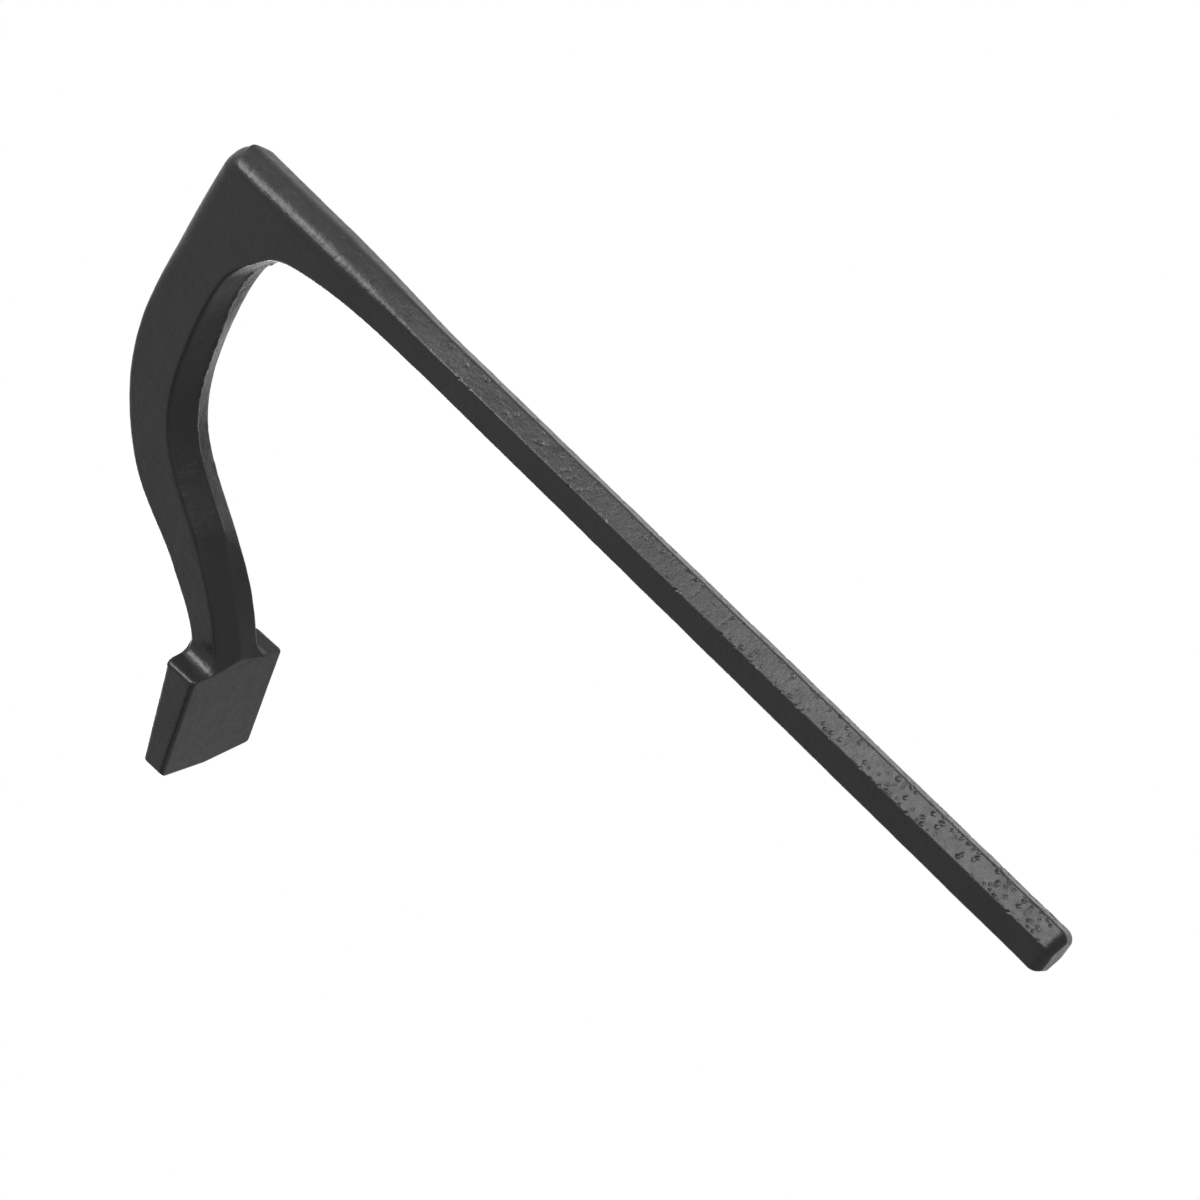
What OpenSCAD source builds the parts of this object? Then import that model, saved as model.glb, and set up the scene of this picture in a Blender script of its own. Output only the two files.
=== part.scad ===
// Cast bench holdfast.
// A ridged shank drops into a round hole in the bench, a mallet blow on the
// crown wedges it there, and a goose-neck arm presses the pad on the work.
// It is one casting, parted along the plane Y = 0, so every long face is
// drafted to a ridge there. The zones of the casting are closed solids that
// meet face to face. X points from the shank to the pad, Z up the shank, and
// the origin is on the shank's axis at the end of its tip.

/* [Shank] */
// Length from the end of the tip up to the inside of the bend
shank_length = 357; // [250:1:480]
// Width of the shank across its back and front ridges, before they are softened
shank_w = 18; // [15:0.5:22]
// Width of each flat side of the shank
shank_flat = 9.8; // [7:0.2:12]
// Thickness of the shank from flat side to flat side
shank_t = 15.4; // [12:0.2:18]
// Length of the rounded bevel at the tip
tip_bevel = 4; // [2:0.5:8]
// How far the bevel draws the tip in, all round
tip_inset = 2.6; // [1:0.2:4]
// How far each long edge of the shank is softened from its corner
shank_soft = 0.7; // [0.3:0.1:1.5]

/* [Neck and crown] */
// Length of the neck, from the plain shank up to the inside of the bend
neck_length = 75; // [50:1:110]
// Distance from the shank's axis forward to the neck where the bend starts
neck_front = 8.4; // [7:0.1:11]
// How far below the inside of the bend the neck ends and the bend starts
bend_start = 12; // [8:1:18]
// Distance from the shank's axis back to the crown's flat sides
crown_back = 6.5; // [5:0.5:9]
// Height of the crown's back corner above the inside of the bend
crown_h = 34.5; // [28:0.5:44]
// Size of the curve that rounds the crown's back corner
crown_corner = 5; // [3:0.5:8]
// Slope of the crown's top behind the arch
crown_rise = 9; // [6:1:12]
// How far the crown's outer edges are softened from their corners
crown_soft = 4.4; // [2:0.2:5]

/* [Arm] */
// Distance from the shank's axis to the heel of the pad
reach = 168; // [140:1:220]
// Thickness of the crown and the arm from flat side to flat side
arm_t = 20.8; // [16:0.2:26]
// Distance from the shank's axis to the top of the arch
arch_x = 70; // [55:1:85]
// Height of the arch's underside above the inside of the bend
arch_h = 18.8; // [14:0.2:26]
// Depth of the arm at the top of the arch
arch_depth = 23.4; // [18:0.2:30]
// Depth of the arm at the shoulder, where the arch turns down
shoulder_depth = 20.2; // [15:0.2:26]
// Depth of the arm at the ankle, where it meets the heel
ankle_depth = 14.8; // [12:0.2:20]
// Thickness of the arm at the ankle, where it starts to spread into the heel
ankle_t = 21.8; // [16:0.2:27]
// How far the arm's edges are softened from their corners
arm_soft = 1.6; // [0.8:0.2:3]

/* [Ridges] */
// Height of the ridge along the outside of the crown and arm
outer_ridge = 3.6; // [2:0.2:5]
// Height of the ridge along the underside of the arch
inner_ridge = 4.4; // [2:0.2:6]
// Height of that ridge inside the bend
bend_ridge = 1.6; // [0.6:0.2:3]
// How far each ridge is softened from its crest
ridge_soft = 0.8; // [0.4:0.1:2]

/* [Pad] */
// Depth of the pad's heel below the inside of the bend
pad_drop = 51; // [36:1:70]
// Length of the pad from heel to toe
pad_length = 47; // [34:1:60]
// Width of the pad
pad_w = 47; // [34:0.2:60]
// Thickness of the pad's sides at the heel
heel_t = 15; // [11:0.2:20]
// Thickness of the pad at the toe
toe_t = 10.8; // [7:0.2:14]
// Slope of the clamping face, with the toe lower than the heel
pad_tilt = 5.3; // [0:0.1:9]
// Radius of the fillets from the arm's sides to the face of the pad's heel
heel_fillet = 5.5; // [3:0.5:9]
// Height at which the arm's back runs on to the pad's back, at the heel
root_h = 5; // [2:0.2:8]
// Length along the pad over which the arm's back fades away
root_length = 27; // [15:1:34]
// How far the middle of the toe stands out in front of its corners
toe_point = 1.8; // [0.5:0.1:4]
// How far the toe's corners are rounded off
toe_round = 3; // [1:0.5:6]
// How far the pad's upper edges are softened from their corners
pad_soft = 1.4; // [0.6:0.2:3]

/* [Hidden] */
casting = "dimgray";
corner_steps = 4;
shank_ridge = (shank_w - shank_flat) / 2;
arm_half = arm_t / 2;
ankle_half = ankle_t / 2;

// Directions and smooth curves in the plane of the hook, as [x, z]
function unit(v) = v / norm(v);
function heading(angle) = [cos(angle), sin(angle)];
function mix(a, b, u) = a + (b - a) * u;
function ease(u) = u * u * (3 - 2 * u);
// Handles that make a curve between two headings run like an arc
function handle(chord, turn) = chord / (3 * pow(cos(turn / 4), 2));
function curve(p, from, q, to, u) =
    let (h = handle(norm(q - p), to - from),
         a = p + h * heading(from),
         b = q - h * heading(to),
         v = 1 - u)
    v * v * v * p + 3 * v * v * u * a + 3 * v * u * u * b + u * u * u * q;

// A corner of an outline, softened from `soft` away on both sides
function softened(before, corner, after, soft) =
    let (s = min(soft, norm(before - corner) * 0.45, norm(after - corner) * 0.45),
         a = corner + s * unit(before - corner),
         b = corner + s * unit(after - corner))
    [for (i = [0 : corner_steps])
        let (u = i / corner_steps)
        (1 - u) * (1 - u) * a + 2 * u * (1 - u) * corner + u * u * b];
function all_softened(corners, softs) =
    let (n = len(corners))
    [for (i = [0 : n - 1])
        each softened(corners[(i + n - 1) % n], corners[i], corners[(i + 1) % n], softs[i])];

// A shape is half of a section: corners as [across, outwards] from the ridge on
// the inside, counted from the inside point, then corners up to the ridge on the
// outside, counted from the outside point, then the softening of each corner
function ridged(half, inner_r, outer_r, inner_soft, outer_soft) =
    [[[0, -inner_r], [half, 0]],
     [[half, 0], [0, outer_r]],
     [ridge_soft, inner_soft, outer_soft, ridge_soft]];
function outline(shape, depth, lean_in, lean_out) =
    let (half = concat([for (c = shape[0]) [c[0], c[1] / lean_in]],
                       [for (c = shape[1]) [c[0], depth + c[1] / lean_out]]),
         back = [for (i = [len(half) - 2 : -1 : 1]) i])
    all_softened(concat(half, [for (i = back) [-half[i][0], half[i][1]]]),
                 concat(shape[2], [for (i = back) shape[2][i]]));

// A station is [inside point, its heading, outside point, its heading, shape]
function between(a, b, u, shape_u) =
    [curve(a[0], a[1], b[0], b[1], u), mix(a[1], b[1], u),
     curve(a[2], a[3], b[2], b[3], u), mix(a[3], b[3], u),
     mix(a[4], b[4], shape_u)];
// The station's outline, set in space as a ring of points
function ring(station) =
    let (inside = station[0],
         outside = station[2],
         out = unit(outside - inside),
         lean_in = out * heading(station[1] + 90),
         lean_out = out * heading(station[3] + 90))
    [for (p = outline(station[4], norm(outside - inside), lean_in, lean_out))
        [inside[0] + p[1] * out[0], p[0], shank_length + inside[1] + p[1] * out[1]]];
// A station whose outside point lies square to the arm at its inside point
function square_to(inside, inside_heading, direction, depth, outside_heading, shape) =
    [inside, inside_heading, inside + depth * heading(direction), outside_heading, shape];

// Solid through a row of rings that all have the same number of points
module through(rings) {
    sides = len(rings[0]);
    last = len(rings) - 1;
    polyhedron(
        points = [for (r = rings) each r],
        faces = concat(
            [[for (k = [0 : sides - 1]) k]],
            [[for (k = [sides - 1 : -1 : 0]) last * sides + k]],
            [for (j = [0 : last - 1], k = [0 : sides - 1])
                let (a = j * sides + k, b = j * sides + (k + 1) % sides)
                each [[a, a + sides, b + sides], [a, b + sides, b]]]));
}

// Sections of the casting
shank_shape = ridged(shank_t / 2, shank_ridge, shank_ridge, shank_soft, shank_soft);
crown_shape = ridged(arm_half, bend_ridge, outer_ridge, arm_soft, crown_soft);
arch_shape = ridged(arm_half, inner_ridge, outer_ridge, arm_soft, arm_soft);

// From the heel on, the outside of a section has two more corners, where the
// arm's back stands up from the pad's back
function rooted(half, foot, shoulder, crest, edge_soft) =
    [[[0, -bend_ridge], [half, 0]],
     [[half, 0], foot, shoulder, [0, crest]],
     [ridge_soft, edge_soft, edge_soft, heel_fillet / 2, arm_soft, ridge_soft]];
function root(half, fade) =
    rooted(half,
           [ankle_half * 2 / 3 + heel_fillet, root_h * mix(0.06, 0.14, fade)],
           [ankle_half * 0.7, root_h * mix(0.12, 0.76, fade)],
           root_h * mix(0.16, 1, fade), pad_soft);
function heel_shape(u, fillet_share) =
    let (past = max(0, 1 - (1 - u) / fillet_share),
         half = ankle_half + heel_fillet * (1 - sqrt(1 - past * past)),
         ankle_start = rooted(half, [half - ankle_half / 3, outer_ridge / 3],
                              [ankle_half / 3, outer_ridge * 2 / 3], outer_ridge, arm_soft),
         heel_end = root(half, 1))
    mix(ankle_start, [heel_end[0],
                      [heel_end[1][0], [half - ankle_half / 3, heel_end[1][1][1]],
                       heel_end[1][2], heel_end[1][3]],
                      heel_end[2]], ease(u));
function pad_shape(x) = root(pad_w / 2, pow(1 - min(x / root_length, 1), 2));

// Points inside the hook, placed between the start of the bend and the top of
// the arch, and between the top of the arch and the heel
function rising(x_share, z_share) =
    [mix(neck_front, arch_x, x_share), mix(-bend_start, arch_h, z_share)];
function falling(x_share, z_share) =
    [mix(arch_x, reach, x_share), mix(arch_h, -pad_drop, z_share)];

// Stations from the plain shank to the toe
neck_foot = [[shank_flat / 2, -neck_length], 90, [-shank_flat / 2, -neck_length], 90, shank_shape];
neck_top = [rising(0, 0), 77, [-crown_back, -bend_start], 90, crown_shape];
back_corner = [-crown_back, crown_h];
below_corner = [rising(0.1, 0.46), 47, back_corner - crown_corner * heading(90), 90, crown_shape];
past_corner = [rising(0.155, 0.56), 40, back_corner + crown_corner * heading(crown_rise),
               crown_rise, crown_shape];
arch_back = [arch_x, arch_h + arch_depth];
crown_end = [rising(0.415, 0.89), 15, [mix(-crown_back, arch_x, 0.5), mix(crown_h, arch_back[1], 0.69)],
             crown_rise * 2 / 3, crown_shape];
arch_top = square_to([arch_x, arch_h], -1, 90, arch_depth, -1.5, arch_shape);
shoulder = square_to(falling(0.41, 0.18), -43, 45, shoulder_depth, -42, arch_shape);
shin = square_to(falling(0.59, 0.485), -53, 40,
                 mix(shoulder_depth, ankle_depth, 0.5), -60, arch_shape);
ankle_shape = ridged(ankle_half, bend_ridge, outer_ridge, arm_soft, arm_soft);
ankle = square_to(falling(0.75, 0.74), -45, 45, ankle_depth, -52, ankle_shape);
heel_edge = [reach, -pad_drop];
toe_edge = heel_edge + (pad_length + toe_point) * heading(-pad_tilt);
pad_up = 90 - pad_tilt;
heel_back = square_to(heel_edge, -32, pad_up, heel_t, -28, ankle_shape);
pad_start = square_to(heel_edge, -pad_tilt, pad_up, heel_t, -10, ankle_shape);
pad_end = square_to(toe_edge, -pad_tilt, pad_up, toe_t, -10, ankle_shape);

// The station between two others, with a shape of its own
function reshaped(a, b, u, shape) =
    let (s = between(a, b, u, 0))
    [s[0], s[1], s[2], s[3], shape];

// Everything under the plane of the clamping face
module under_pad() {
    translate([reach, 0, shank_length - pad_drop])
    rotate([0, pad_tilt, 0])
    translate([-reach, -pad_w, -heel_t])
    cube([reach * 2, pad_w * 2, heel_t]);
}

module shank_tip() {
    slant = 25;
    steps = 5;
    color(casting)
    through([for (i = [0 : steps])
        let (angle = mix(slant, 90, i / steps),
             z = tip_bevel * (cos(slant) - cos(angle)) / cos(slant),
             size = 1 - tip_inset * (1 - sin(angle)) / (1 - sin(slant)) * 2 / shank_w)
        [for (p = ring(neck_foot)) [p[0] * size, p[1] * size, z]]]);
}

module shank() {
    color(casting)
    translate([0, 0, tip_bevel])
    linear_extrude(shank_length - neck_length - tip_bevel)
    polygon([for (p = ring(neck_foot)) [p[0], p[1]]]);
}

module neck() {
    color(casting)
    through([for (i = [0 : 14]) ring(between(neck_foot, neck_top, i / 14, ease(i / 14)))]);
}

module crown() {
    color(casting)
    through(concat(
        [for (i = [0 : 5]) ring(between(neck_top, below_corner, i / 5, 0))],
        [for (i = [1 : 6]) ring(between(below_corner, past_corner, i / 6, 0))],
        [for (i = [1 : 7]) ring(between(past_corner, crown_end, i / 7, 0))]));
}

module arch() {
    color(casting)
    through(concat(
        [for (i = [0 : 8]) ring(between(crown_end, arch_top, i / 8, ease(i / 8)))],
        [for (i = [1 : 10]) ring(between(arch_top, shoulder, i / 10, 0))]));
}

module drop() {
    color(casting)
    through(concat(
        [for (i = [0 : 6]) ring(between(shoulder, shin, i / 6, 0))],
        [for (i = [1 : 6]) ring(between(shin, ankle, i / 6, ease(i / 6)))]));
}

module heel() {
    steps = 16;
    fillet_share = heel_fillet / norm(heel_back[2] - ankle[2]);
    color(casting)
    difference() {
        through([for (i = [0 : steps])
            let (u = sin(90 * i / steps))
            ring(reshaped(ankle, heel_back, u, heel_shape(u, fillet_share)))]);
        under_pad();
    }
}

module pad() {
    steps = 12;
    half = pad_w / 2;
    color(casting)
    difference() {
        intersection() {
            through([for (i = [0 : steps])
                let (x = (pad_length + toe_point) * i / steps)
                ring(reshaped(pad_start, pad_end, i / steps, pad_shape(x)))]);
            translate([reach, 0, shank_length - pad_drop])
            rotate([0, pad_tilt, 0])
            translate([0, 0, -heel_t])
            linear_extrude(heel_t * 3)
            polygon(all_softened(
                [[-heel_t, -half], [pad_length, -half], [pad_length + toe_point, 0],
                 [pad_length, half], [-heel_t, half]],
                [pad_soft, toe_round, toe_round, toe_round, pad_soft]));
        }
        under_pad();
    }
}

shank_tip();
shank();
neck();
crown();
arch();
drop();
heel();
pad();
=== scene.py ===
import math

import bpy
import numpy as np
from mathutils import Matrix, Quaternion, Vector, noise


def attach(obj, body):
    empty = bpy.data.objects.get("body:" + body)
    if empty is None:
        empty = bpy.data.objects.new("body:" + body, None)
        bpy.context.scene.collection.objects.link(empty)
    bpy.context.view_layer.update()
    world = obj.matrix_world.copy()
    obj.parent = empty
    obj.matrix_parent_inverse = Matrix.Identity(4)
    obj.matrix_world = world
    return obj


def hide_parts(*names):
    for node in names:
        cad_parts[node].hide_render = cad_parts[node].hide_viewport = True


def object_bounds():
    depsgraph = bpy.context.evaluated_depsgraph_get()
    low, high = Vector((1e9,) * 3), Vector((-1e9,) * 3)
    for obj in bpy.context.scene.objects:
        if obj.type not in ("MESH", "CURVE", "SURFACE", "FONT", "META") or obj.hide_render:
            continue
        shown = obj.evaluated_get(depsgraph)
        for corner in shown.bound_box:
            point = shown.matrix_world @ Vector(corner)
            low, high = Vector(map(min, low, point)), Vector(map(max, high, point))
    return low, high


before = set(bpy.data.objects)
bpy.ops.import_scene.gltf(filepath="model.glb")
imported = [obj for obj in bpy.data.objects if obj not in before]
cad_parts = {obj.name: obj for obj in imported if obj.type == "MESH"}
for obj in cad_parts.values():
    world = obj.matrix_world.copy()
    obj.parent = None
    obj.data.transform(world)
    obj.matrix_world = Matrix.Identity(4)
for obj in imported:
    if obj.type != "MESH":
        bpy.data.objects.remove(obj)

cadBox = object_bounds()
scene = bpy.context.scene
rng = np.random.default_rng(11)
mm = 0.001
upward = 90  # heading up the shank, in degrees

# The hook is drawn in millimetres in its own plane, as [x, z], with z counted
# from the inside of the bend


def unit(v):
    return v / np.linalg.norm(v)


def heading(angle):
    return np.array([math.cos(math.radians(angle)), math.sin(math.radians(angle))])


def mix(a, b, u):
    return a + (b - a) * u


def ease(u):
    return u * u * (3 - 2 * u)


def sweep(p, start, q, end, u):  # a curve between two headings that runs like an arc
    handle = np.linalg.norm(q - p) / (3 * math.cos(math.radians((end - start) / 4)) ** 2)
    a, b, v = p + handle * heading(start), q - handle * heading(end), 1 - u
    return v ** 3 * p + 3 * v * v * u * a + 3 * v * u * u * b + u ** 3 * q


# Points on the inside, the side and the outside of half a ring. They crowd towards the
# corners, and a softened corner takes at most a share of the faces beside it
around = {"inner": 22, "side": 34, "outer": 26, "crowding": 0.5, "cornerPoints": 9,
          "cornerShare": 0.45}
cornerSteps = np.linspace(0, 1, around["cornerPoints"])
cornerMiddle = around["cornerPoints"] // 2
acrossRidge = np.array([-1, 1])


def spread(count):  # shares of a span, closer together at its ends
    t = np.linspace(0, 1, count + 1)
    return t - around["crowding"] * np.sin(2 * np.pi * t) / (2 * np.pi)


spans = [spread(around[part]) for part in ("inner", "side", "outer")]


def softened(before, corner, after, soft, u):
    shorter = min(np.linalg.norm(before - corner), np.linalg.norm(after - corner))
    s = min(soft, around["cornerShare"] * shorter)
    a, b, u = corner + s * unit(before - corner), corner + s * unit(after - corner), u[:, None]
    return (1 - u) ** 2 * a + 2 * u * (1 - u) * corner + u * u * b


# A section has its corners on the inside, its corners on the outside and how far
# each one is softened
def halfOutline(shape, depth, leanIn, leanOut):
    inner, outer, softs = shape
    corners = [np.array([x, z / leanIn]) for x, z in inner]
    corners += [np.array([x, depth + z / leanOut]) for x, z in outer]
    chain = [corners[1] * acrossRidge, *corners, corners[-2] * acrossRidge]
    path, middles, count = [], [], 0
    for i, soft in enumerate(softs):
        u = cornerSteps
        if i == 0:
            u = cornerSteps[cornerMiddle:]
        if i == len(softs) - 1:
            u = cornerSteps[:cornerMiddle + 1]
        path.append(softened(chain[i], chain[i + 1], chain[i + 2], soft, u))
        middles.append(count + cornerMiddle)
        count += len(u)
    path = np.concatenate(path)
    run = np.concatenate([[0], np.cumsum(np.linalg.norm(np.diff(path, axis=0), axis=1))])
    marks = [0, run[middles[1]], run[middles[2]], run[-1]]
    at = np.concatenate([mix(marks[k], marks[k + 1], span)[(1 if k else 0):]
                         for k, span in enumerate(spans)])
    return np.stack([np.interp(at, run, path[:, 0]), np.interp(at, run, path[:, 1])], 1)


# A station is an inside point, its heading, an outside point, its heading and a section
def between(a, b, u, shapeShare):
    return (sweep(a[0], a[1], b[0], b[1], u), mix(a[1], b[1], u),
            sweep(a[2], a[3], b[2], b[3], u), mix(a[3], b[3], u),
            tuple(mix(p, q, shapeShare) for p, q in zip(a[4], b[4])))


def ring(station):
    inside, insideTurn, outside, outsideTurn, shape = station
    out = unit(outside - inside)
    half = halfOutline(shape, np.linalg.norm(outside - inside),
                       out @ heading(insideTurn + 90), out @ heading(outsideTurn + 90))
    full = np.concatenate([half, half[-2:0:-1] * acrossRidge])
    return np.stack([inside[0] + full[:, 1] * out[0], full[:, 0],
                     shank["length"] + inside[1] + full[:, 1] * out[1]], 1)


# The turns are the headings of the inside, of the line across and of the outside
def squareTo(inside, turns, depth, shape):
    return (inside, turns[0], inside + depth * heading(turns[1]), turns[2], shape)


def stretch(a, b, count, easing=None):
    return [ring(between(a, b, u, easing(u) if easing else 0))
            for u in np.linspace(0, 1, count + 1)]


def joined(*runs):  # rows of rings that share their end rings
    return [r for k, run in enumerate(runs) for r in (run[1:] if k else run)]


rows, zones = [], []


def addZone(node, rings):
    first = max(len(rows) - 1, 0)
    rows.extend(rings[1:] if rows else rings)
    zones.append((node, first, len(rows) - 1))


# Ridges along the parting plane: on the back, on the arm's inside and in the bend
ridges = {"outer": 3.6, "inner": 4.4, "bend": 1.6, "soft": 0.8}


def ridged(half, innerRidge, outerRidge, innerSoft, outerSoft):
    return (np.array([[0, -innerRidge], [half, 0]]), np.array([[half, 0], [0, outerRidge]]),
            np.array([ridges["soft"], innerSoft, outerSoft, ridges["soft"]]))


# Shank and its tip: a flat end, a rounded bevel, then the plain six-sided bar
shank = {"length": 357, "across": 18, "flat": 9.8, "thickness": 15.4, "soft": 0.7, "rings": 640}
tip = {"bevel": 4, "inset": 2.6, "slant": 25, "smallest": 0.05, "endRings": 9,
       "bevelRings": 15}
neck = {"length": 75, "front": 8.4, "rings": 120}

flatHalf = shank["flat"] / 2
shankRidge = (shank["across"] - shank["flat"]) / 2
shankShape = ridged(shank["thickness"] / 2, shankRidge, shankRidge, shank["soft"], shank["soft"])
neckFoot = (np.array([flatHalf, -neck["length"]]), upward,
            np.array([-flatHalf, -neck["length"]]), upward, shankShape)
footRing = ring(neckFoot)


def tipRing(size, z):
    return np.stack([footRing[:, 0] * size, footRing[:, 1] * size, np.full(len(footRing), z)], 1)


endSize = 1 - 2 * tip["inset"] / shank["across"]
endSizes = np.linspace(tip["smallest"], 1, tip["endRings"] + 1)[:-1]
tipRings = [tipRing(endSize * size, 0.0) for size in endSizes]
slant = math.radians(tip["slant"])
for angle in np.linspace(slant, math.pi / 2, tip["bevelRings"]):
    inset = tip["inset"] * (1 - math.sin(angle)) / (1 - math.sin(slant))
    z = tip["bevel"] * (math.cos(slant) - math.cos(angle)) / math.cos(slant)
    tipRings.append(tipRing(1 - inset * 2 / shank["across"], z))
addZone("shank_tip", tipRings)
shankHeights = np.linspace(tip["bevel"], shank["length"] - neck["length"], shank["rings"] + 1)
addZone("shank", [tipRing(1, z) for z in shankHeights])

# Crown and arm. The inside's places are shares of the way from the neck to the top of
# the arch, and from there to the heel
crown = {"start": 12, "startTurn": 77, "back": 6.5, "height": 34.5, "corner": 5, "rise": 9,
         "below": (0.1, 0.46), "belowTurn": 47, "past": (0.155, 0.56), "pastTurn": 40,
         "end": (0.415, 0.89), "endTurn": 15, "endBack": (0.5, 0.69), "soft": 5,
         "ridgeSoft": 2.6, "rings": (60, 40, 50)}
arm = {"reach": 168, "drop": 51, "thickness": 20.8, "soft": 1.6,
       "archX": 70, "archHeight": 18.8, "archDepth": 23.4, "archTurns": (-1, upward, -1.5),
       "shoulder": (0.41, 0.18), "shoulderDepth": 20.2, "shoulderTurns": (-43, 45, -42),
       "shin": (0.59, 0.485), "shinTurns": (-53, 40, -60),
       "ankle": (0.75, 0.74), "ankleDepth": 14.8, "ankleTurns": (-45, 45, -52),
       "ankleThickness": 21.8, "archRings": (70, 80), "dropRings": (45, 45)}

armHalf = arm["thickness"] / 2
ankleHalf = arm["ankleThickness"] / 2
crownShape = ridged(armHalf, ridges["bend"], ridges["outer"], arm["soft"], crown["soft"])
crownShape[2][3] = crown["ridgeSoft"]
archShape = ridged(armHalf, ridges["inner"], ridges["outer"], arm["soft"], arm["soft"])
ankleShape = ridged(ankleHalf, ridges["bend"], ridges["outer"], arm["soft"], arm["soft"])


def rising(xShare, zShare):
    return np.array([mix(neck["front"], arm["archX"], xShare),
                     mix(-crown["start"], arm["archHeight"], zShare)])


def falling(xShare, zShare):
    return np.array([mix(arm["archX"], arm["reach"], xShare),
                     mix(arm["archHeight"], -arm["drop"], zShare)])


backCorner = np.array([-crown["back"], crown["height"]])
archBack = arm["archHeight"] + arm["archDepth"]
neckTop = (rising(0, 0), crown["startTurn"], np.array([-crown["back"], -crown["start"]]), upward,
           crownShape)
belowCorner = (rising(*crown["below"]), crown["belowTurn"],
               backCorner - crown["corner"] * heading(upward), upward, crownShape)
pastCorner = (rising(*crown["past"]), crown["pastTurn"],
              backCorner + crown["corner"] * heading(crown["rise"]), crown["rise"], crownShape)
crownEnd = (rising(*crown["end"]), crown["endTurn"],
            np.array([mix(-crown["back"], arm["archX"], crown["endBack"][0]),
                      mix(crown["height"], archBack, crown["endBack"][1])]),
            crown["rise"] * 2 / 3, crownShape)
archTop = squareTo(np.array([arm["archX"], arm["archHeight"]]), arm["archTurns"],
                   arm["archDepth"], archShape)
shoulder = squareTo(falling(*arm["shoulder"]), arm["shoulderTurns"], arm["shoulderDepth"],
                    archShape)
shin = squareTo(falling(*arm["shin"]), arm["shinTurns"],
                mix(arm["shoulderDepth"], arm["ankleDepth"], 0.5), archShape)
ankle = squareTo(falling(*arm["ankle"]), arm["ankleTurns"], arm["ankleDepth"], ankleShape)

addZone("neck", stretch(neckFoot, neckTop, neck["rings"], ease))
addZone("crown", joined(stretch(neckTop, belowCorner, crown["rings"][0]),
                        stretch(belowCorner, pastCorner, crown["rings"][1]),
                        stretch(pastCorner, crownEnd, crown["rings"][2])))
addZone("arch", joined(stretch(crownEnd, archTop, arm["archRings"][0], ease),
                       stretch(archTop, shoulder, arm["archRings"][1])))
addZone("drop", joined(stretch(shoulder, shin, arm["dropRings"][0]),
                       stretch(shin, ankle, arm["dropRings"][1], ease)))

# Heel and pad are worked in the pad's own directions: along it, across it and up
pad = {"length": 47, "width": 47, "heel": 15, "toe": 10.8, "tilt": 5.3, "point": 1.8,
       "toeRound": 3, "soft": 2.4, "heelRound": 1.9, "toeSoft": 1.8, "heelInsideTurn": -32,
       "heelOutsideTurn": -28, "backTurn": -10, "heelRings": 41, "faceRings": 15,
       "faceShare": 0.6, "faceBlend": 1.5, "rings": 62, "toeRings": 8, "endRings": 9,
       "smallest": 0.05}
# The arm's root on the pad. Pairs are shares of its height, faded out and at the heel
root = {"height": 5, "length": 27, "fillet": 5.5, "foot": (0.06, 0.14),
        "shoulder": (0.12, 0.76), "crest": (0.16, 1), "shoulderAt": 0.7}

padHalf = pad["width"] / 2
padReach = pad["length"] + pad["point"]
padAlong, padUp = heading(-pad["tilt"]), heading(upward - pad["tilt"])
heelEdge = np.array([arm["reach"], -arm["drop"]])
heelTurns = (pad["heelInsideTurn"], upward - pad["tilt"], pad["heelOutsideTurn"])
padTurns = (-pad["tilt"], upward - pad["tilt"], pad["backTurn"])
heelBack = squareTo(heelEdge, heelTurns, pad["heel"], ankleShape)
padStart = squareTo(heelEdge, padTurns, pad["heel"], ankleShape)
padEnd = squareTo(heelEdge + padReach * padAlong, padTurns, pad["toe"], ankleShape)


def rooted(half, foot, shoulder, crest, edgeSoft):
    return (np.array([[0, -ridges["bend"]], [half, 0]]),
            np.array([[half, 0], foot, shoulder, [0, crest]]),
            np.array([ridges["soft"], edgeSoft, edgeSoft, root["fillet"] / 2, arm["soft"],
                      ridges["soft"]]))


def rootShape(half, fade):
    h = root["height"]
    return rooted(half, [ankleHalf * 2 / 3 + root["fillet"], h * mix(*root["foot"], fade)],
                  [ankleHalf * root["shoulderAt"], h * mix(*root["shoulder"], fade)],
                  h * mix(*root["crest"], fade), pad["soft"])


def heelShape(u, filletShare):
    past = max(0, 1 - (1 - u) / filletShare)
    half = ankleHalf + root["fillet"] * (1 - math.sqrt(1 - past * past))
    outer = ridges["outer"]
    start = rooted(half, [half - ankleHalf / 3, outer / 3], [ankleHalf / 3, outer * 2 / 3], outer,
                   arm["soft"])
    end = rootShape(half, 1)
    end[1][1][0] = half - ankleHalf / 3
    return tuple(mix(a, b, ease(u)) for a, b in zip(start, end))


def padShape(x):
    return rootShape(padHalf, (1 - min(x / root["length"], 1)) ** 2)


def toPad(points):
    offset = points[:, [0, 2]] - (heelEdge + [0, shank["length"]])
    return np.stack([offset @ padAlong, points[:, 1], np.maximum(offset @ padUp, 0)], 1)


def fromPad(p):
    flat = heelEdge + [0, shank["length"]] + p[:, :1] * padAlong + p[:, 2:] * padUp
    return np.stack([flat[:, 0], p[:, 1], flat[:, 1]], 1)


def planned(p):  # draws the toe out to its point and rounds its corners
    r, across = pad["toeRound"], np.abs(p[:, 1])
    x = p[:, 0] * (pad["length"] + pad["point"] * (1 - across / padHalf)) / padReach
    dx = np.maximum(x - (pad["length"] - r), 0) / r
    dy = np.maximum(across - (padHalf - r), 0) / r
    roundX = x + r * dx * (np.sqrt(1 - np.minimum(dy, 1) ** 2 / 2) - 1)
    roundY = across + r * dy * (np.sqrt(1 - np.minimum(dx, 1) ** 2 / 2) - 1)
    return np.stack([roundX, roundY * np.sign(p[:, 1]), p[:, 2]], 1)


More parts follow.
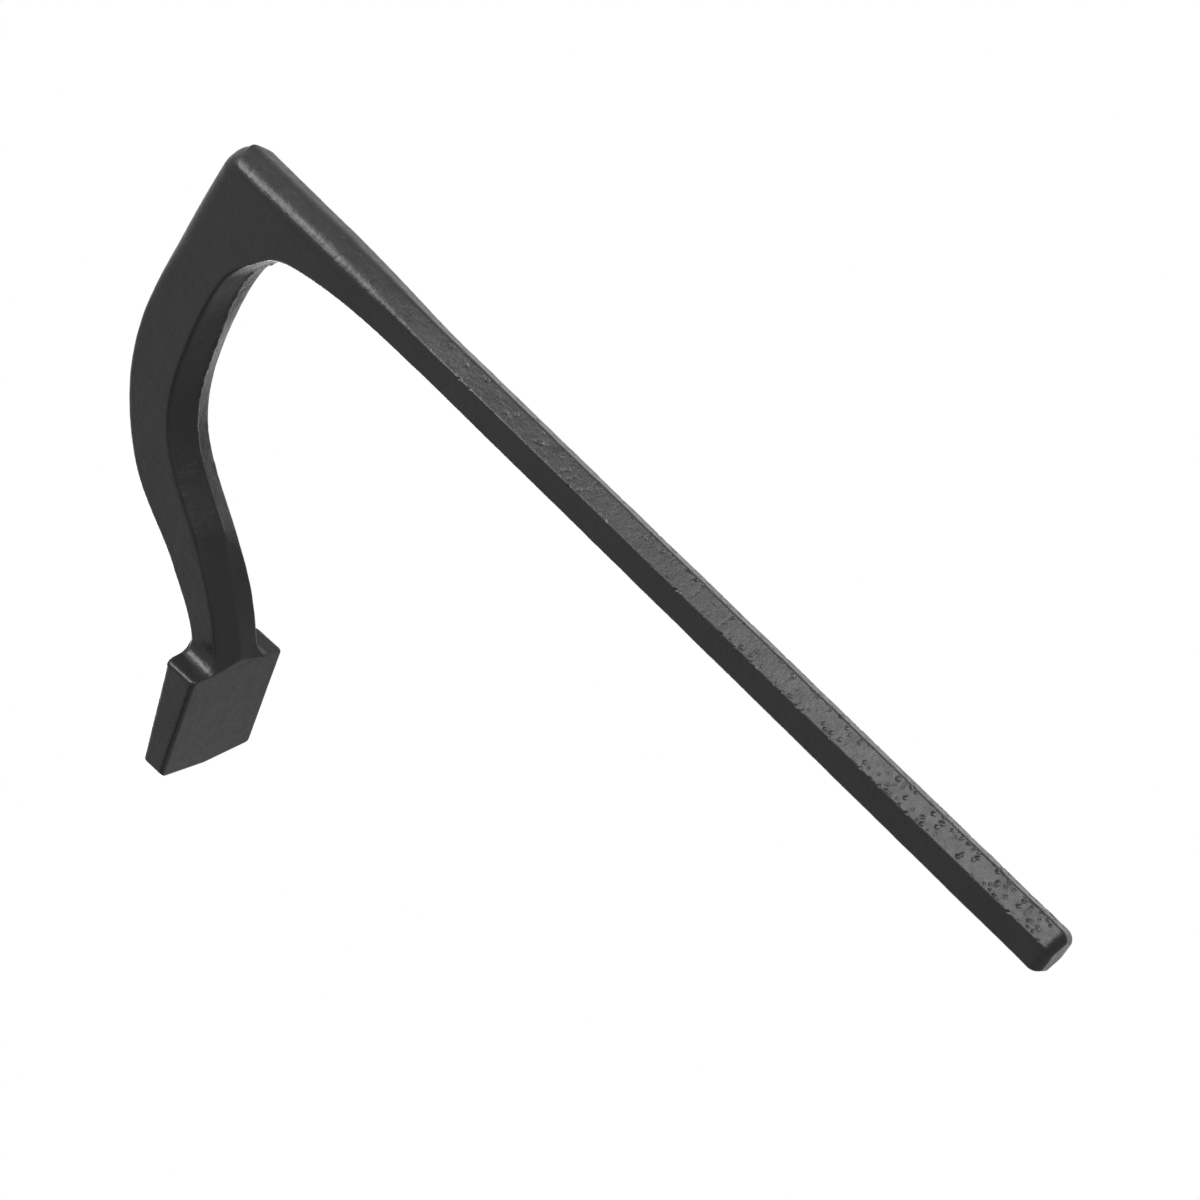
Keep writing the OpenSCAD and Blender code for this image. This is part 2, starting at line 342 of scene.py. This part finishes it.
filletShare = root["fillet"] / np.linalg.norm(heelBack[2] - ankle[2])
heelRings = []
for u in np.sin(np.linspace(0, math.pi / 2, pad["heelRings"])):
    station = (*between(ankle, heelBack, u, 0)[:4], heelShape(u, filletShare))
    heelRings.append(fromPad(toPad(ring(station))))
addZone("heel", heelRings)

heelEnd = toPad(heelRings[-1])
padSection = toPad(ring((*padStart[:4], padShape(0))))
outward = padSection[:, 1:] - heelEnd[:, 1:]
outwardBy = np.linalg.norm(outward, axis=1)
edgeRound, faceShare = pad["heelRound"], pad["faceShare"]
turn = np.minimum(outwardBy, edgeRound)
onFace = ease(np.clip(outwardBy / (pad["faceBlend"] * edgeRound), 0, 1))
padRings = [heelRings[-1]]
for t in np.linspace(0, 1, pad["faceRings"])[1:]:  # out over the heel's face, then round its edge
    theta = np.clip((t - faceShare) / (1 - faceShare), 0, 1) * math.pi / 2
    moved = (outwardBy - turn) * min(t / faceShare, 1) + turn * math.sin(theta)
    share = moved / np.maximum(outwardBy, 1e-6)
    p = np.empty_like(heelEnd)
    p[:, 0] = edgeRound * mix(t, 1 - math.cos(theta), onFace)
    p[:, 1:] = heelEnd[:, 1:] + outward * share[:, None]
    padRings.append(fromPad(planned(p)))
toeSoft = pad["toeSoft"]
plainPart = np.linspace(edgeRound, padReach - toeSoft, pad["rings"])[1:]
toeSteps = np.sin(np.linspace(0, math.pi / 2, pad["toeRings"])[1:])
toePart = padReach - toeSoft + toeSoft * toeSteps
for x in [*plainPart, *toePart]:
    p = toPad(ring((*between(padStart, padEnd, x / padReach, 0)[:4], padShape(x))))
    inset = toeSoft - math.sqrt(max(toeSoft ** 2 - max(x - padReach + toeSoft, 0) ** 2, 0))
    p[:, 0] = x
    p[:, 1] *= 1 - inset / padHalf
    p[:, 2] = inset + p[:, 2] * (1 - 2 * inset / p[:, 2].max())
    padRings.append(fromPad(planned(p)))
middle = p[:, 2].max() / 2
for size in np.linspace(1, pad["smallest"], pad["endRings"])[1:]:
    q = np.stack([p[:, 0], p[:, 1] * size, middle + (p[:, 2] - middle) * size], 1)
    padRings.append(fromPad(planned(q)))
addZone("pad", padRings)

grid = np.array(rows)
ringCount, sides = grid.shape[:2]
print("outline of the casting drawn:", ringCount, "rings of", sides, "points")


def surfaceNormals(g):
    alongRow = np.empty_like(g)
    alongRow[1:-1] = g[2:] - g[:-2]
    alongRow[0], alongRow[-1] = g[1] - g[0], g[-1] - g[-2]
    aroundRing = np.roll(g, -1, axis=1) - np.roll(g, 1, axis=1)
    n = np.cross(aroundRing, alongRow)
    return n / np.maximum(np.linalg.norm(n, axis=2, keepdims=True), 1e-12)


# Where each point lies: how far along the casting, and its place on half a ring, which
# is counted from the inside ridge to the outside one
rowRange = {node: (first, last) for node, first, last in zones}
centres = grid.mean(axis=1)
alongCasting = np.concatenate([[0], np.cumsum(np.linalg.norm(np.diff(centres, axis=0), axis=1))])
s = np.repeat(alongCasting[:, None], sides, axis=1)
halfCount = sides // 2
place = np.abs(((np.arange(sides) + halfCount) % sides) - halfCount)
innerFace = place <= around["inner"]
outerFace = place >= around["inner"] + around["side"]
archStart, archEnd = [alongCasting[row] for row in rowRange["arch"]]


def zoneMask(node, fade=0):
    first, last = rowRange[node]
    a, b = alongCasting[first], alongCasting[last]
    return np.clip(np.minimum(s - a + fade, b + fade - s) / max(fade, 1e-6), 0, 1)


def noiseAt(p):
    return np.array([noise.noise(q) for q in p.reshape(-1, 3).tolist()]).reshape(ringCount, sides)


# A layer of smooth random lumps: their strength, their size and where they start
def layer(strength, size, shift):
    return strength * noiseAt(grid / size + shift)


normals = surfaceNormals(grid)
height = np.zeros((ringCount, sides))

# Cast skin, smoother on the clamping face
skin = {"layers": ((0.11, 15, 3.1), (0.055, 4.6, 17.7), (0.03, 1.5, 29.3)), "faceSharp": 4,
        "faceFrom": 2.8, "onFace": 0.12}
facingDown = np.clip(-normals[:, :, 2] * skin["faceSharp"] - skin["faceFrom"], 0, 1)
clampingFace = zoneMask("pad") * facingDown
skinShare = 1 - (1 - skin["onFace"]) * clampingFace
height += skinShare * sum(layer(*values) for values in skin["layers"])

# Ragged flash along the parting line inside the bend
flash = {"height": 0.55, "width": 0.75, "from": -26, "to": 6, "fadeIn": 8, "fadeOut": 10,
         "even": 0.62, "coarse": (0.9, 3.2, 51.9), "fine": (0.5, 1.1, 77.3), "least": 0.05,
         "most": 1.2}
flashRun = (np.clip((s - archStart - flash["from"]) / flash["fadeIn"], 0, 1)
            * np.clip((archEnd + flash["to"] - s) / flash["fadeOut"], 0, 1))
ragged = np.clip(flash["even"] + layer(*flash["coarse"]) + layer(*flash["fine"]),
                 flash["least"], flash["most"])
flashEdge = np.exp(-(np.abs(grid[:, :, 1]) / flash["width"]) ** 2)
height += innerFace * flashRun * flash["height"] * ragged * flashEdge

# Grinding marks run across the crown's back and a patch of the arm's inner face
grinding = {"crown": 0.075, "crownFade": 12, "crownDull": 0.6, "neckShare": 0.5,
            "neckFade": 8, "arm": 0.13, "armCut": 0.35, "patch": (-10, 22), "fadeIn": 5,
            "fadeOut": 8, "even": 0.35, "patches": (1.3, 5.5, 91.1), "pitch": 1.05,
            "length": 8, "drift": 40, "shift": 5.5}
marks = noiseAt(np.stack([s / grinding["pitch"],
                          grid[:, :, 1] / grinding["length"] + s / grinding["drift"],
                          np.full_like(s, grinding["shift"])], 2))
crownBack = outerFace * np.clip(zoneMask("crown", grinding["crownFade"])
                                + grinding["neckShare"] * zoneMask("neck", grinding["neckFade"]),
                                0, 1)
patchStart, patchEnd = grinding["patch"]
armPatch = innerFace * np.clip((s - archEnd - patchStart) / grinding["fadeIn"], 0, 1)
armPatch = armPatch * np.clip((archEnd + patchEnd - s) / grinding["fadeOut"], 0, 1)
armPatch = armPatch * np.clip(grinding["even"] + layer(*grinding["patches"]), 0, 1)
height += (grinding["crown"] * crownBack * marks
           + grinding["arm"] * armPatch * (marks - grinding["armCut"]))
ground = np.clip(crownBack * grinding["crownDull"] + armPatch, 0, 1)

# Casting pits: many on the shank's back towards the tip, few elsewhere
pits = {"back": 430, "elsewhere": 170, "radius": (0.3, 0.85), "depth": (0.1, 0.36),
        "smallRadius": (0.25, 0.6), "smallDepth": (0.05, 0.18), "stretch": (0.6, 1.5),
        "rim": 1.25, "atNeck": 0.12, "crowding": 1.6, "neckShare": 0.04, "padShare": 0.6,
        "rowsAway": 7, "pointsAway": 12}
pitDepth = np.zeros((ringCount, sides))


def sinkPits(count, weight, radii, depths):
    chance = (weight / weight.sum()).ravel()
    rowsAway, pointsAway = pits["rowsAway"], pits["pointsAway"]
    for centre in rng.choice(chance.size, size=count, p=chance):
        i, j = divmod(int(centre), sides)
        radius = rng.uniform(*radii)
        depth = rng.uniform(*depths)
        stretchBy = rng.uniform(*pits["stretch"])
        lean = rng.uniform(0, math.pi)
        rowsNear = np.arange(max(i - rowsAway, 0), min(i + rowsAway + 1, ringCount))
        fromCentre = np.arange(-pointsAway, pointsAway + 1)
        near = np.ix_(rowsNear, (j + fromCentre) % sides)
        d = grid[near] - grid[i, j]
        along = s[near] - s[i, j]
        across = np.sqrt(np.maximum((d ** 2).sum(2) - along ** 2, 0))
        across = across * np.sign(fromCentre[None, :])
        a = along * math.cos(lean) + across * math.sin(lean)
        b = across * math.cos(lean) - along * math.sin(lean)
        reach = np.sqrt((a / (radius * stretchBy)) ** 2 + (b * stretchBy / radius) ** 2)
        bowl = ease(np.clip(pits["rim"] - reach, 0, 1)) * depth
        pitDepth[near] = np.maximum(pitDepth[near], bowl)


ringArea = np.repeat(np.gradient(alongCasting)[:, None], sides, axis=1)
fromTip = np.clip(1 - s / shank["length"], 0, 1) ** pits["crowding"]
tipward = zoneMask("shank") * (pits["atNeck"] + (1 - pits["atNeck"]) * fromTip)
sinkPits(pits["back"], ringArea * outerFace * (tipward + pits["neckShare"] * zoneMask("neck")),
         pits["radius"], pits["depth"])
plainSkin = sum(zoneMask(node) for node in ("shank", "neck", "crown", "arch", "drop"))
plainSkin = (1 - clampingFace) * (plainSkin + pits["padShare"] * zoneMask("pad"))
sinkPits(pits["elsewhere"], ringArea * plainSkin, pits["smallRadius"], pits["smallDepth"])
height -= pitDepth

# The surface lies a little inside its outline, and is quiet where the ends close
surface = {"inside": 0.05, "endRows": 9, "endFade": 3, "atEnds": 0.15}
fromEnds = np.minimum(s - s[surface["endRows"]], s[-surface["endRows"]] - s)
endFade = np.clip(fromEnds / surface["endFade"], surface["atEnds"], 1)
grid = grid + normals * ((height - surface["inside"]) * endFade)[:, :, None]
low, high = [np.array(c) / mm for c in cadBox]
grid = np.clip(grid, low, high)
normals = surfaceNormals(grid)
print("skin, flash, grinding marks and pits worked in")


# Black paint over the casting, with painted shade that darkens the pits by their depth
paint = {"dark": (0.0065, 0.0066, 0.0068, 1), "pale": (0.0125, 0.0127, 0.013, 1),
         "pitShadeColour": (0.005, 0.005, 0.005, 1), "pitShadeFullDepth": 0.3, "shine": 0.26,
         "roughLow": 0.25, "roughHigh": 0.35, "peelLow": 0.3, "peelHigh": 0.7,
         "groundDuller": 0.09, "grainDepth": 0.00015, "peelDepth": 0.6, "bump": 0.8,
         "grainScale": 900, "grainDetail": 4, "grainRoughness": 0.6, "peelScale": 330,
         "peelDetail": 2, "mottleScale": 70, "mottleDetail": 5}


def makePaint():
    material = bpy.data.materials.new("blackPaint")
    material.use_nodes = True
    nodes, links = material.node_tree.nodes, material.node_tree.links
    shader = nodes["Principled BSDF"]
    shader.inputs["Specular IOR Level"].default_value = paint["shine"]
    spot = nodes.new("ShaderNodeTexCoord").outputs["Object"]

    def noiseNode(**values):
        n = nodes.new("ShaderNodeTexNoise")
        for name, value in values.items():
            n.inputs[name].default_value = value
        links.new(spot, n.inputs["Vector"])
        return n.outputs["Fac"]

    def painted(name):  # a value stored with the mesh's points
        n = nodes.new("ShaderNodeAttribute")
        n.attribute_name = name
        return n.outputs["Fac"]

    def scaled(value, factor, added):
        n = nodes.new("ShaderNodeMath")
        n.operation = "MULTIPLY_ADD"
        n.inputs[1].default_value = factor
        links.new(value, n.inputs[0])
        links.new(added, n.inputs[2])
        return n.outputs[0]

    mottle = noiseNode(Scale=paint["mottleScale"], Detail=paint["mottleDetail"])
    grain = noiseNode(Scale=paint["grainScale"], Detail=paint["grainDetail"],
                      Roughness=paint["grainRoughness"])
    peel = noiseNode(Scale=paint["peelScale"], Detail=paint["peelDetail"])
    tone = nodes.new("ShaderNodeMix")
    tone.data_type = "RGBA"
    tone.inputs["A"].default_value = paint["dark"]
    tone.inputs["B"].default_value = paint["pale"]
    links.new(mottle, tone.inputs["Factor"])
    # Deeper pits get a darker base colour: painted shade in the pits
    pitShade = nodes.new("ShaderNodeMix")
    pitShade.data_type = "RGBA"
    pitShade.inputs["B"].default_value = paint["pitShadeColour"]
    links.new(painted("pitDepth"), pitShade.inputs["Factor"])
    links.new(tone.outputs["Result"], pitShade.inputs["A"])
    links.new(pitShade.outputs["Result"], shader.inputs["Base Color"])
    rough = nodes.new("ShaderNodeMapRange")
    for name, value in (("From Min", "peelLow"), ("From Max", "peelHigh"),
                        ("To Min", "roughLow"), ("To Max", "roughHigh")):
        rough.inputs[name].default_value = paint[value]
    links.new(peel, rough.inputs["Value"])
    links.new(scaled(painted("ground"), paint["groundDuller"], rough.outputs["Result"]),
              shader.inputs["Roughness"])
    bump = nodes.new("ShaderNodeBump")
    bump.inputs["Strength"].default_value = paint["bump"]
    bump.inputs["Distance"].default_value = paint["grainDepth"]
    links.new(scaled(peel, paint["peelDepth"], grain), bump.inputs["Height"])
    links.new(bump.outputs["Normal"], shader.inputs["Normal"])
    return material


blackPaint = makePaint()
pieceNames = {"shank_tip": "castShankTip", "shank": "castShank", "neck": "castNeck",
              "crown": "castCrown", "arch": "castArch", "drop": "castDrop", "heel": "castHeel",
              "pad": "castPad"}
# The pits' depth sets how dark their painted shade is
pointValues = {"pitDepth": np.clip(pitDepth / paint["pitShadeFullDepth"], 0, 1), "ground": ground}


# Each zone is a closed shell. Its shading follows the whole casting, so no seam shows
def buildZone(node, first, last):
    body = grid[first:last + 1]
    count = len(body)
    points = np.concatenate([body.reshape(-1, 3), body[:1].mean(axis=1), body[-1:].mean(axis=1)])
    j = np.arange(sides)
    after = (j + 1) % sides
    row = (np.arange(count - 1) * sides)[:, None]
    quads = np.stack([row + j, row + after, row + sides + after, row + sides + j], 2).reshape(-1, 4)
    end = (count - 1) * sides
    startCap = np.stack([np.full(sides, count * sides), after, j], 1)
    endCap = np.stack([np.full(sides, count * sides + 1), end + j, end + after], 1)
    mesh = bpy.data.meshes.new(pieceNames[node])
    mesh.from_pydata((points * mm).tolist(), [],
                     quads.tolist() + startCap.tolist() + endCap.tolist())
    mesh.polygons.foreach_set("use_smooth", np.ones(len(mesh.polygons), dtype=bool))
    facing = normals[first:last + 1].reshape(-1, 3)
    startWay = unit(body[0].mean(axis=0) - body[1].mean(axis=0))
    endWay = unit(body[-1].mean(axis=0) - body[-2].mean(axis=0))
    if node == "shank_tip":
        startWay = np.array([0.0, 0.0, -1.0])
    if node == "pad":
        endWay = np.array([padAlong[0], 0.0, padAlong[1]])
    loopNormals = np.concatenate([facing[quads.ravel()], np.tile(startWay, (sides * 3, 1)),
                                  np.tile(endWay, (sides * 3, 1))])
    mesh.normals_split_custom_set(loopNormals.tolist())
    for name, values in pointValues.items():
        flat = np.concatenate([values[first:last + 1].ravel(), [0, 0]]).astype(np.float32)
        mesh.attributes.new(name, "FLOAT", "POINT").data.foreach_set("value", flat)
    mesh.materials.append(blackPaint)
    piece = bpy.data.objects.new(pieceNames[node], mesh)
    scene.collection.objects.link(piece)
    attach(piece, "root")
    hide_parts(node)


for node, first, last in zones:
    buildZone(node, first, last)
    print("built", pieceNames[node])


# Pale floor just below the tip. Seen from below, it lets the camera through
floorSet = {"half": 4, "height": -0.012, "colour": (0.6, 0.6, 0.6, 1)}
h, z = floorSet["half"], floorSet["height"]
floorMesh = bpy.data.meshes.new("floor")
floorMesh.from_pydata([(-h, -h, z), (h, -h, z), (h, h, z), (-h, h, z)], [], [(0, 1, 2, 3)])
floorMaterial = bpy.data.materials.new("paleFloor")
floorMaterial.use_nodes = True
nodes, links = floorMaterial.node_tree.nodes, floorMaterial.node_tree.links
nodes.clear()
matte = nodes.new("ShaderNodeBsdfDiffuse")
matte.inputs["Color"].default_value = floorSet["colour"]
clear = nodes.new("ShaderNodeBsdfTransparent")
side, ray = nodes.new("ShaderNodeNewGeometry"), nodes.new("ShaderNodeLightPath")
both = nodes.new("ShaderNodeMath")
both.operation = "MULTIPLY"
links.new(side.outputs["Backfacing"], both.inputs[0])
links.new(ray.outputs["Is Camera Ray"], both.inputs[1])
choice, output = nodes.new("ShaderNodeMixShader"), nodes.new("ShaderNodeOutputMaterial")
links.new(both.outputs[0], choice.inputs["Fac"])
links.new(matte.outputs[0], choice.inputs[1])
links.new(clear.outputs[0], choice.inputs[2])
links.new(choice.outputs[0], output.inputs["Surface"])
floorMesh.materials.append(floorMaterial)
floor = bpy.data.objects.new("floor", floorMesh)
scene.collection.objects.link(floor)

# Surroundings that look white and light the casting at a lower level
surroundings = {"colour": (1, 1, 1, 1), "ambient": 0.24, "seen": 1.0}
world = bpy.data.worlds.new("surroundings")
world.use_nodes = True
scene.world = world
nodes, links = world.node_tree.nodes, world.node_tree.links
background = nodes["Background"]
background.inputs["Color"].default_value = surroundings["colour"]
ray = nodes.new("ShaderNodeLightPath")
seen = ray.outputs["Is Camera Ray"]
for kind in ("Is Glossy Ray", "Is Transmission Ray"):
    either = nodes.new("ShaderNodeMath")
    either.operation = "MAXIMUM"
    links.new(seen, either.inputs[0])
    links.new(ray.outputs[kind], either.inputs[1])
    seen = either.outputs[0]
level = nodes.new("ShaderNodeMapRange")
level.inputs["To Min"].default_value = surroundings["ambient"]
level.inputs["To Max"].default_value = surroundings["seen"]
links.new(seen, level.inputs["Value"])
links.new(level.outputs["Result"], background.inputs["Strength"])

softBoxes = {
    "sideHigh": {"at": (-0.75, 0.42, 0.92), "aim": (0, 0, 0.36), "size": 0.56, "watts": 15.5},
    "sideLow": {"at": (-1.0, 0.06, 0.22), "aim": (0, 0, 0.08), "size": 0.5, "watts": 7.5},
    "fill": {"at": (0.9, -0.25, 0.65), "aim": (0.4, -0.2, 0), "size": 0.6, "watts": 8},
}
for name, box in softBoxes.items():
    light = bpy.data.lights.new(name, "AREA")
    light.shape = "SQUARE"
    light.size = box["size"]
    light.energy = box["watts"]
    lamp = bpy.data.objects.new(name, light)
    lamp.location = box["at"]
    lamp.rotation_mode = "QUATERNION"
    lamp.rotation_quaternion = (Vector(box["aim"]) - Vector(box["at"])).to_track_quat("-Z", "Y")
    scene.collection.objects.link(lamp)

# Camera where the photograph was taken from
view = {"at": (-0.5963, 0.7703, -0.1643), "aim": (0.0541, -0.0349, 0.2080), "roll": -45.402,
        "lens": 96, "sensor": 36, "near": 0.05, "far": 20}
cameraData = bpy.data.cameras.new("photographView")
cameraData.lens = view["lens"]
cameraData.sensor_width = view["sensor"]
cameraData.clip_start, cameraData.clip_end = view["near"], view["far"]
camera = bpy.data.objects.new("photographView", cameraData)
camera.location = view["at"]
camera.rotation_mode = "QUATERNION"
camera.rotation_quaternion = ((Vector(view["aim"]) - Vector(view["at"])).to_track_quat("-Z", "Y")
                              @ Quaternion((0, 0, 1), math.radians(view["roll"])))
scene.collection.objects.link(camera)
scene.camera = camera
scene.view_settings.view_transform = "Standard"
print("floor, lights and camera set")
